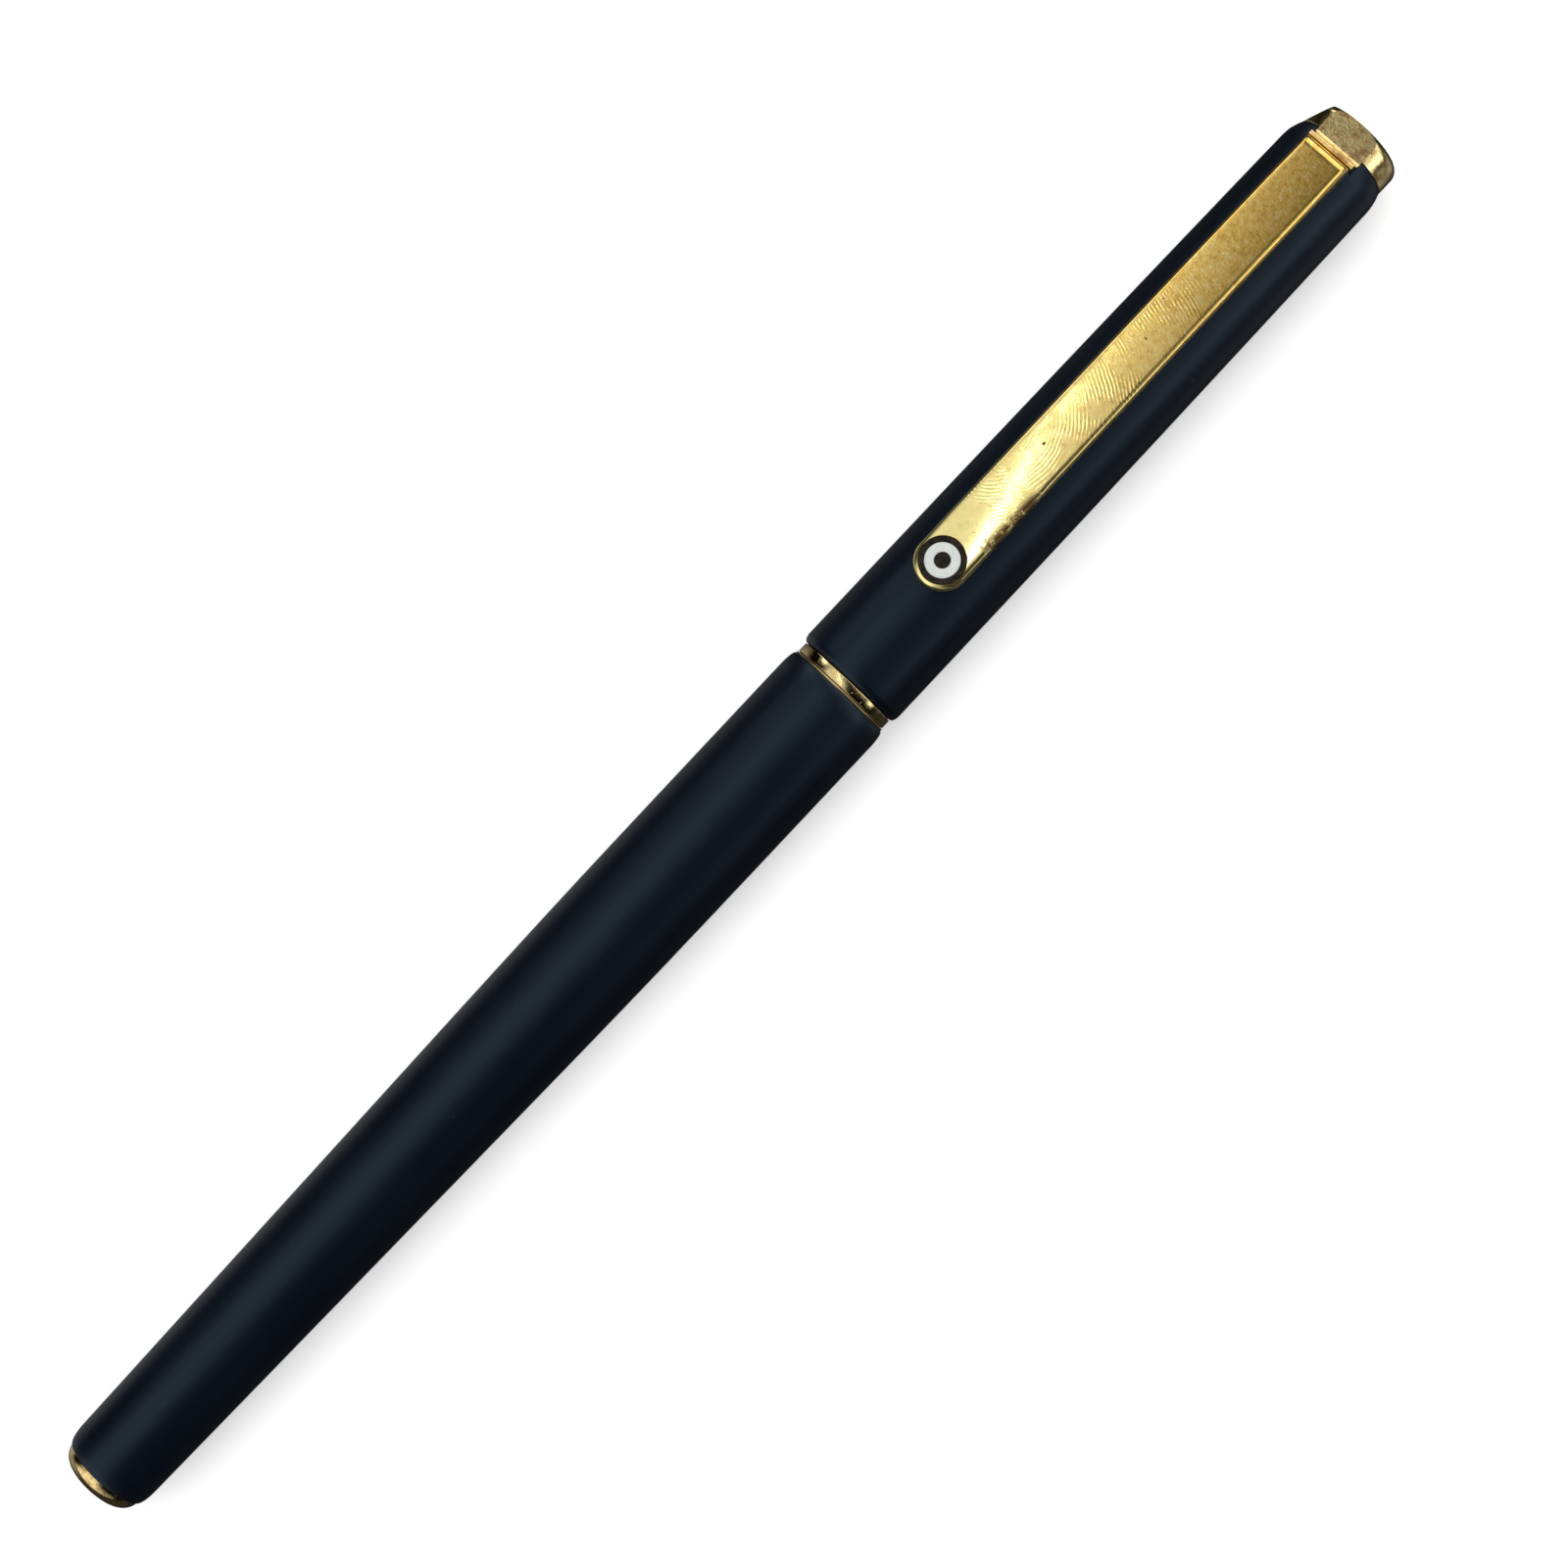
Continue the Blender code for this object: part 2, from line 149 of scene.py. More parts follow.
class Finish(Nodes):
    """One material, and the nodes behind its Principled shader."""

    def __init__(self, name, **fixed):
        self.material = bpy.data.materials.new(name)
        self.material.use_nodes = True
        super().__init__(self.material.node_tree)
        self.shader = self.tree.nodes["Principled BSDF"]
        for socket, value in fixed.items():
            self.shader.inputs[socket.replace("_", " ")].default_value = value
        point = self.node("ShaderNodeTexCoord", output="Object")
        shift = {"Location": (-TAIL / MM, 0, -AXIS / MM), "Scale": (1 / MM,) * 3, "Vector": point}
        self.point = self.node("ShaderNodeMapping", inputs=shift)

    def set(self, socket, wire):
        self.tree.links.new(wire.socket, self.shader.inputs[socket])

    def axes(self):
        """Distances from the tail, across the pen and above its centre line, in millimetres."""
        return self.parts(self.point)

    def noise(self, scale, detail=3.0, roughness=0.5, stretch=(1, 1, 1), shift=(0, 0, 0)):
        moved = {"Scale": stretch, "Location": shift, "Vector": self.point}
        place = self.node("ShaderNodeMapping", inputs=moved)
        inputs = {"Vector": place, "Scale": scale, "Detail": detail, "Roughness": roughness}
        return self.node("ShaderNodeTexNoise", inputs=inputs)

    def mix(self, factor, first, second):
        """Between two colours."""
        inputs = {0: factor}
        for slot, value in ((6, first), (7, second)):
            inputs[slot] = value if isinstance(value, Wire) else (*value, 1)
        return self.node("ShaderNodeMix", {"data_type": "RGBA"}, inputs, output=2)

    def bump(self, height, distance):
        """Raises the surface by height times distance, which is in millimetres."""
        inputs = {"Height": height, "Distance": distance * MM, "Strength": 1.0}
        self.set("Normal", self.node("ShaderNodeBump", inputs=inputs))


def lacquer():
    """Matt blue-black lacquer with a powdery grain, a few pale specks and handling marks."""
    f = Finish(
        "matte_navy_lacquer", Metallic=0.0, Specular_IOR_Level=0.46, Specular_Tint=(0.54, 0.74, 1.0, 1)
    )
    grain = f.noise(9.0, 2.0, 0.6)
    cloud = f.noise(0.11, 4.0, 0.55)
    scuff = f.noise(0.5, 5.0, 0.7, stretch=(0.25, 1.6, 1.6)).fade(0.56, 0.74)
    speck = f.noise(2.3, 1.0, 0.4).fade(0.79, 0.83)
    colour = f.mix(cloud.fade(0.35, 0.7), (0.0002, 0.0013, 0.0040), (0.0006, 0.0020, 0.0050))
    colour = f.mix(speck * 0.5, colour, (0.03, 0.04, 0.05))
    f.set("Base Color", colour)
    f.set("Roughness", 0.34 + 0.05 * cloud + 0.05 * scuff + 0.04 * grain)
    f.bump(grain, 0.006)
    return f.material


def gold(name="gold_plate", colour=(0.90, 0.72, 0.34), rough=0.06, tarnish=0.35):
    """Polished gold plate: faint orange-peel, brown tarnish clouds and fine pits."""
    f = Finish(name, Metallic=1.0)
    cloud = f.noise(0.9, 6.0, 0.65)
    fine = f.noise(5.0, 3.0, 0.6)
    pit = f.noise(3.1, 2.0, 0.5).fade(0.68, 0.73)
    stain = cloud.fade(0.46, 0.66) * tarnish
    base = f.mix(stain, colour, (0.36, 0.17, 0.06))
    base = f.mix(pit * 0.7, base, (0.08, 0.035, 0.015))
    f.set("Base Color", base)
    f.set("Roughness", rough + 0.12 * stain + 0.05 * fine + 0.25 * pit)
    f.bump(fine * 0.4 + cloud * 0.8 - 0.8 * pit, 0.02)
    return f.material


def clip_gold():
    """The clip's plate: painted darker and browner towards its root as painted shade for the dimmer
    reflection there, with finger ripples, grimy pits and wear by the badge.
    """
    f = Finish("clip_gold_plate", Metallic=0.94)
    s, y, _ = f.axes()
    cloud = f.noise(0.9, 7.0, 0.72)
    mottle = f.noise(2.2, 5.0, 0.7, shift=(5, 0, 2))
    fine = f.noise(6.0, 4.0, 0.6)
    pit = f.noise(2.4, 1.0, 0.4, shift=(3, 1, 0)).fade(0.75, 0.78)
    # root: how far along towards the clip's root; it carries painted shade in the colour, and real roughness
    # and grain.
    root = s.fade(88, 127)
    beside = f.node("ShaderNodeMapping", inputs={"Location": (-101, -4.5, 0), "Vector": f.point})
    wave = f.node(
        "ShaderNodeTexWave",
        {"wave_type": "RINGS", "rings_direction": "Z"},
        {"Vector": beside, "Scale": 1.15, "Distortion": 3.0, "Detail": 3.0, "Detail Scale": 0.8},
        output=1,
    )
    patches = f.noise(0.35, 4.0, 0.6, shift=(7, 2, 0)).fade(0.42, 0.6)
    touched = s.fade(93, 98) * (1 - s.fade(114, 121)) * patches
    ripple = wave * touched
    edge_wear = s.fade(93.4, 94.2) * (1 - s.fade(98.4, 100)) * (y * -1).fade(1.25, 1.75)
    worn = edge_wear * f.noise(1.6, 5.0, 0.7, shift=(1, 5, 0)).fade(0.44, 0.5)
    # Painted shade: the colour turns darker and more orange towards the root, standing in for the dimmer
    # reflection there; the dark and pale mottles are tarnish, made stronger towards the root along with that
    # painted shade.
    base = f.mix(root + (cloud - 0.5) * 0.5, (0.90, 0.77, 0.33), (0.92, 0.60, 0.14))
    base = f.mix(mottle.fade(0.50, 0.66) * (0.15 + 0.45 * root), base, (1.0, 0.84, 0.42))
    base = f.mix((1 - mottle.fade(0.36, 0.48)) * (0.1 + 0.4 * root), base, (0.52, 0.31, 0.07))
    base = f.mix(worn * 0.9, base, (0.13, 0.05, 0.018))
    base = f.mix(pit * 0.85, base, (0.04, 0.018, 0.008))
    f.set("Base Color", base)
    f.set("Roughness", 0.045 + 0.13 * cloud * root + 0.03 * ripple + 0.25 * worn + 0.3 * pit + 0.02 * fine)
    f.bump(0.25 * fine * root + 0.22 * ripple + 0.35 * mottle * root - 0.9 * pit - 0.9 * worn, 0.014)
    return f.material


def plain_metal(name, colour, rough, turned=0.3):
    """Bare turned metal with fine tool lines round it."""
    f = Finish(name, Metallic=1.0)
    lines = f.noise(1.0, 4.0, 0.6, stretch=(22, 0.4, 0.4))
    cloud = f.noise(0.8, 3.0, 0.5)
    f.set("Base Color", f.mix(cloud * 0.35, colour, tuple(0.55 * c for c in colour)))
    f.set("Roughness", rough + 0.12 * lines * turned + 0.08 * cloud)
    f.bump(lines, 0.006 * turned)
    return f.material


def plastic(name, colour, rough, grain=6.0, lift=0.004):
    """Moulded plastic with a faint grain and rubbed patches."""
    f = Finish(name, Metallic=0.0)
    texture = f.noise(grain, 3.0, 0.55)
    rubbed = f.noise(0.4, 4.0, 0.6).fade(0.4, 0.7)
    f.set("Base Color", f.mix(rubbed * 0.5, colour, tuple(min(1.0, 1.35 * c + 0.002) for c in colour)))
    f.set("Roughness", rough + 0.08 * rubbed + 0.05 * texture)
    f.bump(texture, lift)
    return f.material


def fibre():
    """Ink-soaked fibre, drawn out along the pen."""
    f = Finish("ink_soaked_fibre", Roughness=0.9)
    strand = f.noise(4.0, 4.0, 0.6, stretch=(0.08, 1.6, 1.6))
    f.set("Base Color", f.mix(strand, (0.008, 0.012, 0.06), (0.03, 0.05, 0.18)))
    f.bump(strand, 0.03)
    return f.material


def enamel():
    """Dark brown-black enamel, slightly cloudy."""
    f = Finish("dark_enamel", Metallic=0.0, Specular_IOR_Level=0.12)
    cloud = f.noise(2.4, 4.0, 0.6)
    f.set("Base Color", f.mix(cloud.fade(0.4, 0.65), (0.006, 0.005, 0.004), (0.030, 0.019, 0.012)))
    f.set("Roughness", 0.3 + 0.2 * cloud)
    f.bump(cloud, 0.006)
    return f.material


def inlay():
    """Pale grey inlay with the faint mottling of a cast resin."""
    f = Finish("pale_grey_inlay", Metallic=0.0)
    cloud = f.noise(2.0, 4.0, 0.6)
    fine = f.noise(9.0, 2.0, 0.5)
    f.set("Base Color", f.mix(cloud, (0.50, 0.54, 0.52), (0.66, 0.70, 0.67)))
    f.set("Roughness", 0.32 + 0.15 * fine)
    f.bump(fine, 0.004)
    return f.material


LACQUER = lacquer()
GOLD = gold()
CLIP_GOLD = clip_gold()
END_GOLD = gold("end_gold_plate", (0.88, 0.69, 0.31), 0.11, 0.8)
BRASS = plain_metal("turned_brass", (0.75, 0.57, 0.27), 0.28)
STEEL = plain_metal("stainless_steel", (0.60, 0.60, 0.58), 0.22)
CARBIDE = plain_metal("tungsten_carbide", (0.32, 0.33, 0.35), 0.10, 0.05)
GRIP = plastic("black_gloss_resin", (0.006, 0.006, 0.007), 0.16, 5.0, 0.002)
LINER = plastic("cap_liner_plastic", (0.03, 0.03, 0.035), 0.42)
REFILL = plastic("refill_plastic", (0.50, 0.52, 0.53), 0.28)
MOULDED = plastic("black_moulded_plastic", (0.015, 0.015, 0.016), 0.40)
FIBRE = fibre()
ENAMEL = enamel()
INLAY = inlay()

# ---------------------------------------------------------------- shaping


def start():
    if bpy.context.object and bpy.context.object.mode != "OBJECT":
        bpy.ops.object.mode_set(mode="OBJECT")
    bpy.ops.object.select_all(action="DESELECT")


def finish(piece, name, material, body=None, nodes=(), angle=30):
    """Settles a shaped piece at the origin, smooths it, paints it and lets it ride."""
    if bpy.context.object.mode != "OBJECT":
        bpy.ops.object.mode_set(mode="OBJECT")
    start()
    piece.select_set(True)
    bpy.context.view_layer.objects.active = piece
    bpy.ops.object.transform_apply(location=True, rotation=True, scale=True)
    bpy.ops.object.shade_smooth_by_angle(angle=math.radians(angle))
    piece.name = name
    piece.data.name = name
    piece.data.materials.clear()
    piece.data.materials.append(material)
    if body:
        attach(piece, body)
    if nodes:
        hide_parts(*nodes)
    piece.select_set(False)
    return piece


def curve(steep, flat, steps=6):
    """A rounded corner in an outline: from steep, where it runs across the pen, to flat, where it runs
    along the pen."""
    points = []
    for i in range(steps + 1):
        turn = math.pi / 2 * i / steps
        s = steep[0] + (flat[0] - steep[0]) * (1 - math.cos(turn))
        r = steep[1] + (flat[1] - steep[1]) * math.sin(turn)
        points.append((s, r))
    return points


def turned(outline, sides=SIDES):
    """A ring is pulled along the outline of (s, r) points. The ends close on the centre line or on
    each other."""
    start()
    needle = 0.01
    (here, reach), *onward = outline
    solid = reach == 0
    reach = max(reach, needle)
    bpy.ops.mesh.primitive_circle_add(
        vertices=sides,
        radius=reach * MM,
        fill_type="NOTHING",
        location=at(here),
        rotation=(0, math.pi / 2, 0),
    )
    piece = bpy.context.object
    bpy.ops.object.mode_set(mode="EDIT")
    bpy.ops.mesh.select_all(action="SELECT")
    for s, r in onward:
        r = max(r, needle)
        shift = (at(s).x - at(here).x, 0, 0)
        bpy.ops.mesh.extrude_region_move(TRANSFORM_OT_translate={"value": shift})
        bpy.ops.transform.resize(value=(1, r / reach, r / reach), center_override=at(s))
        here, reach = s, r
    if outline[-1][1] == 0:
        bpy.ops.mesh.merge(type="CENTER")
    bpy.ops.mesh.select_all(action="DESELECT")
    bpy.ops.mesh.select_non_manifold(
        use_wire=False, use_multi_face=False, use_non_contiguous=False, use_verts=False
    )
    if solid:
        bpy.ops.mesh.merge(type="CENTER")
    else:
        bpy.ops.mesh.bridge_edge_loops()
    bpy.ops.mesh.select_all(action="SELECT")
    bpy.ops.mesh.remove_doubles(threshold=1e-7)
    bpy.ops.mesh.normals_make_consistent(inside=False)
    bpy.ops.object.mode_set(mode="OBJECT")
    return piece


def wound(profile, start_s, pitch, turns, steps=48):
    """A closed profile of (s, r) points, screwed right-handed about the pen's centre line and closed at
    its ends."""
    start()
    bpy.ops.mesh.primitive_circle_add(
        vertices=len(profile), radius=MM, fill_type="NOTHING", location=at(start_s)
    )
    piece = bpy.context.object
    for vert, (s, r) in zip(piece.data.vertices, profile):
        vert.co = (s * MM, 0, r * MM)
    screw = piece.modifiers.new("screw", "SCREW")
    screw.axis = "X"
    screw.angle = math.tau * turns
    screw.screw_offset = pitch * turns * MM
    screw.steps = screw.render_steps = round(steps * turns)
    screw.use_normal_calculate = True
    screw.use_smooth_shade = True
    bpy.ops.object.modifier_apply(modifier="screw")
    bpy.ops.object.mode_set(mode="EDIT")
    bpy.ops.mesh.select_all(action="SELECT")
    bpy.ops.mesh.fill_holes(sides=0)
    bpy.ops.mesh.normals_make_consistent(inside=False)
    bpy.ops.object.mode_set(mode="OBJECT")
    return piece


def cut(piece, tool, operation="DIFFERENCE"):
    """Takes the tool out of the piece, or joins it on, and throws the tool away."""
    start()
    bpy.context.view_layer.objects.active = piece
    piece.select_set(True)
    boolean = piece.modifiers.new("cut", "BOOLEAN")
    boolean.operation = operation
    boolean.solver = "EXACT"
    boolean.object = tool
    bpy.ops.object.modifier_apply(modifier="cut")
    bpy.data.objects.remove(tool)


def block(low, high):
    """A box between two corners given as (s, y, z), as a tool for cutting."""
    start()
    middle = [(a + b) / 2 for a, b in zip(low, high)]
    size = [(b - a) * MM for a, b in zip(low, high)]
    bpy.ops.mesh.primitive_cube_add(size=1, location=at(*middle))
    tool = bpy.context.object
    tool.scale = size
    bpy.ops.object.transform_apply(location=True, rotation=True, scale=True)
    return tool


def barrel_radius(s):
    """Straight ahead of the knee and a plain cone behind it, with an eased bend between them."""
    behind = KNEE_EASE * math.log1p(math.exp((BARREL_KNEE - s) / KNEE_EASE))
    return BARREL_RADIUS - BARREL_TAPER * behind


def cap_radius(s):
    """Slightly bowed: widest at the mouth."""
    return CAP_RADIUS - CAP_BOW * (s - CAP_MOUTH) ** 2


# ---------------------------------------------------------------- barrel and its pieces


def make_barrel():
    rear = [(1.3, 3.0)] + curve((1.3, 3.25), (2.8, barrel_radius(2.8)), 10)
    side = [(s, barrel_radius(s)) for s in range(4, 78, 2)]
    front = curve((79.4, 4.24), (78.1, barrel_radius(78.1)), 10)[::-1]
    bore = [(79.4, 3.99), (69.5, 3.99), (69.5, 3.8), (54, 3.8), (30, 3.5), (12, 3.2), (4.2, 3.12)]
    bore += [(4.2, 2.88), (1.3, 2.88)]
    shell = turned(rear + side + front + bore)
    finish(shell, "barrel_shell", LACQUER, "barrel", ["barrel_tube"])

    face = [(0, 0), (0, 1.5)] + curve((0.0, 1.7), (1.28, 3.22), 14)
    stem = [(1.28, 2.86), (4.55, 2.86), (4.55, 1.4), (5.6, 1.25), (5.6, 0)]
    finish(turned(face + stem), "tail_disc", END_GOLD, "barrel", ["tail_plug"])

    rim = [(70.0, 3.8), (70.0, 3.97), (79.43, 3.97), (79.43, 4.2), (79.46, 4.225), (79.54, 4.225)]
    rim += [(79.57, 4.2), (79.57, 3.8)]
    finish(turned(rim), "barrel_bush_rim", BRASS, "barrel", ["barrel_bush"])
    ridge = [(-0.3, 3.85), (-0.06, 3.47), (0.06, 3.47), (0.3, 3.85)]
    thread = wound(ridge, THREAD_START, THREAD_PITCH, THREAD_TURNS)
    finish(thread, "barrel_bush_thread", BRASS, "barrel", [], 50)

    coil_radius, wire_radius, sides = 2.35, 0.22, 12
    turns = [math.tau * i / sides for i in range(sides)]
    wire = [(wire_radius * math.cos(a), coil_radius + wire_radius * math.sin(a)) for a in turns]
    spring = wound(wire, 4.95, 1.4, 5, 40)
    finish(spring, "refill_coil_spring", STEEL, None, ["refill_spring"], 50)
    at(4.7)
    at(12.4)
    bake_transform(spring)


def make_refill():
    shoulder = 102.3
    end = shoulder - 0.35
    plug = [(14.0, 0), (14.0, 1.4), (12.5, 1.4), (12.4, 1.5), (12.4, 2.9), (12.48, 2.98), (13.1, 2.98)]
    plug += [(13.1, 2.66), (16.6, 2.66), (16.6, 0)]
    plug = turned(plug, 96)
    finish(plug, "refill_end_stopper", MOULDED, "refill", ["refill_end_plug"])
    tube = [(13.15, 2.7), (13.15, 2.97), (13.18, 3.0), (end - 0.03, 3.0), (end, 2.97), (end, 2.7)]
    finish(turned(tube, 96), "refill_ink_tube", REFILL, "refill", ["refill_tube"])
    store = [(17.0, 0), (17.0, 2.45), (17.15, 2.6), (95.25, 2.6), (95.4, 2.45), (95.4, 0.6), (88.0, 0.6)]
    store = turned(store + [(88.0, 0)], 64)
    finish(store, "refill_ink_reservoir", FIBRE, "refill", ["ink_reservoir"])
    wick = [(88.2, 0), (88.2, 0.48), (88.3, 0.54), (118.0, 0.54), (118.2, 0.4), (118.2, 0)]
    finish(turned(wick, 32), "refill_feed_wick", FIBRE, "refill", ["feed_wick"])
    body = [(96.0, 0.62), (96.0, 2.6), (96.1, 2.66), (end + 0.05, 2.66), (end + 0.05, 2.95)]
    body += [(shoulder - 0.05, 2.95), (shoulder - 0.05, 2.2), (107.2, 2.2), (107.5, 1.9), (112.3, 1.9)]
    body += [(112.5, 1.75), (112.5, 1.17), (109.8, 1.17), (109.8, 0.62)]
    finish(turned(body, 96), "refill_nose_holder", MOULDED, "refill", ["refill_nose"])
    centre, ball, seat = 120.7, 0.35, 0.385
    tip = [(110.0, 0.62), (110.0, 1.13), (117.1, 1.13), (117.25, 1.11), (117.4, 1.04), (119.5, 0.63)]
    tip += [(119.7, 0.59), (centre - 0.3, 0.53), (centre - 0.05, 0.49), (centre + 0.1, 0.44)]
    tip += [(centre + 0.16, 0.4), (centre + 0.16, 0.335)]
    for degrees in (78, 92, 106, 120, 134, 146):
        turn = math.radians(degrees)
        tip.append((centre + seat * math.cos(turn), seat * math.sin(turn)))
    tip += [(centre - 0.4, 0.2), (118.8, 0.2), (118.4, 0.62)]
    finish(turned(tip, 96), "refill_steel_tip", STEEL, "refill", ["refill_tip"])
    start()
    bpy.ops.mesh.primitive_ico_sphere_add(subdivisions=5, radius=ball * MM, location=at(centre))
    finish(bpy.context.object, "carbide_ball", CARBIDE, "ball", ["writing_ball"], 60)


def make_section():
    back = [(102.4, 3.12), (70.3, 3.12), (70.3, 3.25), (70.5, 3.37), (76.3, 3.37), (76.3, 3.64)]
    back += [(80.44, 3.64), (80.44, 3.8), (80.49, 3.85)]
    groove = [(82.57, 3.85), (82.6, 3.82), (82.6, 3.5), (83.6, 3.5), (83.6, 3.82), (83.63, 3.85)]
    grip = [(86, 3.83), (89, 3.79), (92, 3.745), (95, 3.69), (98, 3.62), (100, 3.57), (102, 3.51)]
    grip += [(104, 3.45), (106, 3.38), (107.5, 3.31), (109, 3.215), (109.8, 3.14), (110.3, 3.04)]
    grip += [(110.5, 2.95)]
    bore = [(110.5, 2.5), (107.5, 2.5), (107.5, 2.3), (102.4, 2.3)]
    body = turned(back + groove + grip + bore)
    finish(body, "grip_body", GRIP, "section", ["grip_section"])
    ridge = [(-0.3, 3.3), (-0.06, 3.64), (0.06, 3.64), (0.3, 3.3)]
    thread = wound(ridge, THREAD_START, THREAD_PITCH, THREAD_TURNS)
    finish(thread, "grip_thread", GRIP, "section", [], 50)

    ring = [(79.64, 3.67), (79.64, 4.09)] + curve((79.64, 4.09), (79.72, 4.155), 5)[1:]
    ring += curve((80.41, 4.09), (80.33, 4.155), 5)[::-1] + [(80.41, 3.67)]
    finish(turned(ring, 160), "joint_ring", GOLD, "section", ["trim_ring"])

    cone = [(107.6, 2.02), (107.6, 2.44), (110.55, 2.44), (110.55, 2.9), (110.62, 2.97), (110.85, 2.98)]
    cone += [(111.1, 2.93), (112.5, 2.62), (114.0, 2.25), (115.0, 1.99), (116.2, 1.65), (116.5, 1.55)]
    cone += [(116.7, 1.44), (116.8, 1.32), (116.8, 1.25), (112.8, 1.25), (112.8, 2.02)]
    finish(turned(cone), "nose_cone_shell", GOLD, "section", ["nose_cone"])

    band = [(82.75, 3.6), (82.75, 3.84), (82.79, 3.88), (83.41, 3.88), (83.45, 3.84), (83.45, 3.6)]
    snap = turned(band + [(83.41, 3.57), (82.79, 3.57)])
    cut(snap, block((82, -0.4, -5), (84, 0.4, -3)))
    finish(snap, "snap_ring_spring", STEEL, "snap_ring", ["snap_ring"])


# ---------------------------------------------------------------- cap and its pieces


def bevel_tool():
    """The wedge that takes one side off the cap's top, turned a little about the pen's centre line."""
    tool = block((130.75, 4, -8), (140.75, 12, 8))
    for vert in tool.data.vertices:
        s = (vert.co.x - TAIL) / MM
        if vert.co.y < 6 * MM:
            vert.co.y = (BEVEL_WIDTH - BEVEL_SLOPE * (s - BEVEL_START)) * MM
    to_axis, back = Matrix.Translation(-at(0)), Matrix.Translation(at(0))
    tool.data.transform(back @ Matrix.Rotation(BEVEL_ROLL, 4, "X") @ to_axis)
    return tool


def make_cap():
    mouth = curve((CAP_MOUTH, 4.14), (81.15, cap_radius(81.15)), 8)
    side = [(s, cap_radius(s)) for s in [82 + 2 * i for i in range(24)] + [129, 130, 131.2]]
    shoulder = [(131.45, 4.205), (131.7, 4.185), (131.95, 4.15), (132.2, 4.1), (132.4, 4.05), (132.6, 3.985)]
    shoulder += [(132.75, 3.935), (CAP_END, 3.89)]
    inside = [(CAP_END, 3.1), (129.9, 3.1), (129.9, 3.82), (106, 3.99), (89, 4.1), (CAP_MOUTH, 4.1)]
    shell = turned(mouth + side + shoulder + inside)
    cut(shell, bevel_tool())
    cut(shell, block(*LEG_SLOT))
    cut(shell, block((131.56, -2.08, 2.2), (136, 2.08, 8)))
    finish(shell, "cap_shell", LACQUER, "cap", ["cap_tube"])

    bush = [(80.9, 3.93), (80.93, 4.08), (88.5, 4.08), (88.5, 3.9), (83.7, 3.9), (83.6, 3.98), (82.6, 3.98)]
    bush += [(82.5, 3.9), (80.93, 3.9)]
    finish(turned(bush), "cap_mouth_bush", BRASS, "cap", ["cap_bush"])
    liner = [(126.6, 0), (126.6, 2.9), (126.4, 3.05), (111.3, 3.05), (110.8, 3.15), (110, 3.3), (106, 3.52)]
    liner += [(104, 3.6), (104, 3.7), (106, 3.85), (127.2, 3.76), (127.4, 3.6), (127.4, 0)]
    finish(turned(liner, 96), "cap_liner", LINER, "cap", ["inner_cap"])
    plug = [(128.4, 1.0), (128.4, 3.7), (128.46, 3.76), (129.8, 3.76), (129.8, 3.06), (132.75, 3.06)]
    plug = turned(plug + [(132.75, 1.0)], 96)
    cut(plug, block(*LEG_SLOT))
    finish(plug, "cap_end_plug", BRASS, "cap", ["end_plug"])
    screw = [(127.5, 0), (127.5, 1.55), (127.6, 1.66), (127.75, 1.7), (128.3, 1.7), (128.3, 0.9)]
    screw = turned(screw + [(133.85, 0.9), (134.0, 0.75), (134.0, 0)], 64)
    cut(screw, block((127, -0.2, -2), (127.9, 0.2, 2)))
    finish(screw, "finial_fixing_screw", STEEL, "cap", ["finial_screw"])

    edge = curve((PEN_LENGTH, 3.1), (134.2, 3.9), 10)[::-1]
    disc = [(134.2, 0), (134.2, 0.98), (132.88, 0.98), (132.88, 3.86), (132.92, 3.9)] + edge
    finial = turned(disc + [(PEN_LENGTH, 3.0), (PEN_LENGTH, 0)])
    cut(finial, finial_rib(), "UNION")
    cut(finial, block((132.62, -8, FLAT_HEIGHT), (136, 8, 8)))
    cut(finial, bevel_tool())
    finish(finial, "cap_top_disc", END_GOLD, "cap", ["finial"])


def finial_rib():
    """The rib across the cap's top, close behind the clip's end, and the hollow curve down from it to
    the flat."""
    start()
    half = (CLIP_HALF_WIDTH - 0.02) * MM
    outline = [(133.2, 3.15), (131.62, 3.15), (131.62, 4.62), (131.635, 4.69), (131.68, 4.75)]
    outline += [(131.76, 4.785), (131.86, 4.785), (131.94, 4.76), (132.0, 4.7), (132.03, 4.6)]
    outline += [(132.1, 4.2), (132.17, 3.95), (132.27, 3.66), (132.38, 3.48), (132.5, 3.37)]
    outline += [(132.64, FLAT_HEIGHT), (133.2, FLAT_HEIGHT)]
    bpy.ops.mesh.primitive_circle_add(
        vertices=len(outline), radius=MM, fill_type="NGON", location=(0, 0, 0)
    )
    rib = bpy.context.object
    for vert, (s, z) in zip(rib.data.vertices, outline):
        vert.co = at(s, 0, z) - Vector((0, half, 0))
    bpy.ops.object.mode_set(mode="EDIT")
    bpy.ops.mesh.select_all(action="SELECT")
    bpy.ops.mesh.extrude_region_move(TRANSFORM_OT_translate={"value": (0, 2 * half, 0)})
    bpy.ops.mesh.select_all(action="SELECT")
    bpy.ops.mesh.normals_make_consistent(inside=False)
    bpy.ops.object.mode_set(mode="OBJECT")
    return rib


# ---------------------------------------------------------------- clip


def clip_face(s):
    """Height of the clip's face above the centre line: it bows up between its ends."""
    return CLIP_TOP + CLIP_BOW * math.sin(math.pi * (CLIP_ROOT - s) / (CLIP_ROOT - CLIP_TIP))


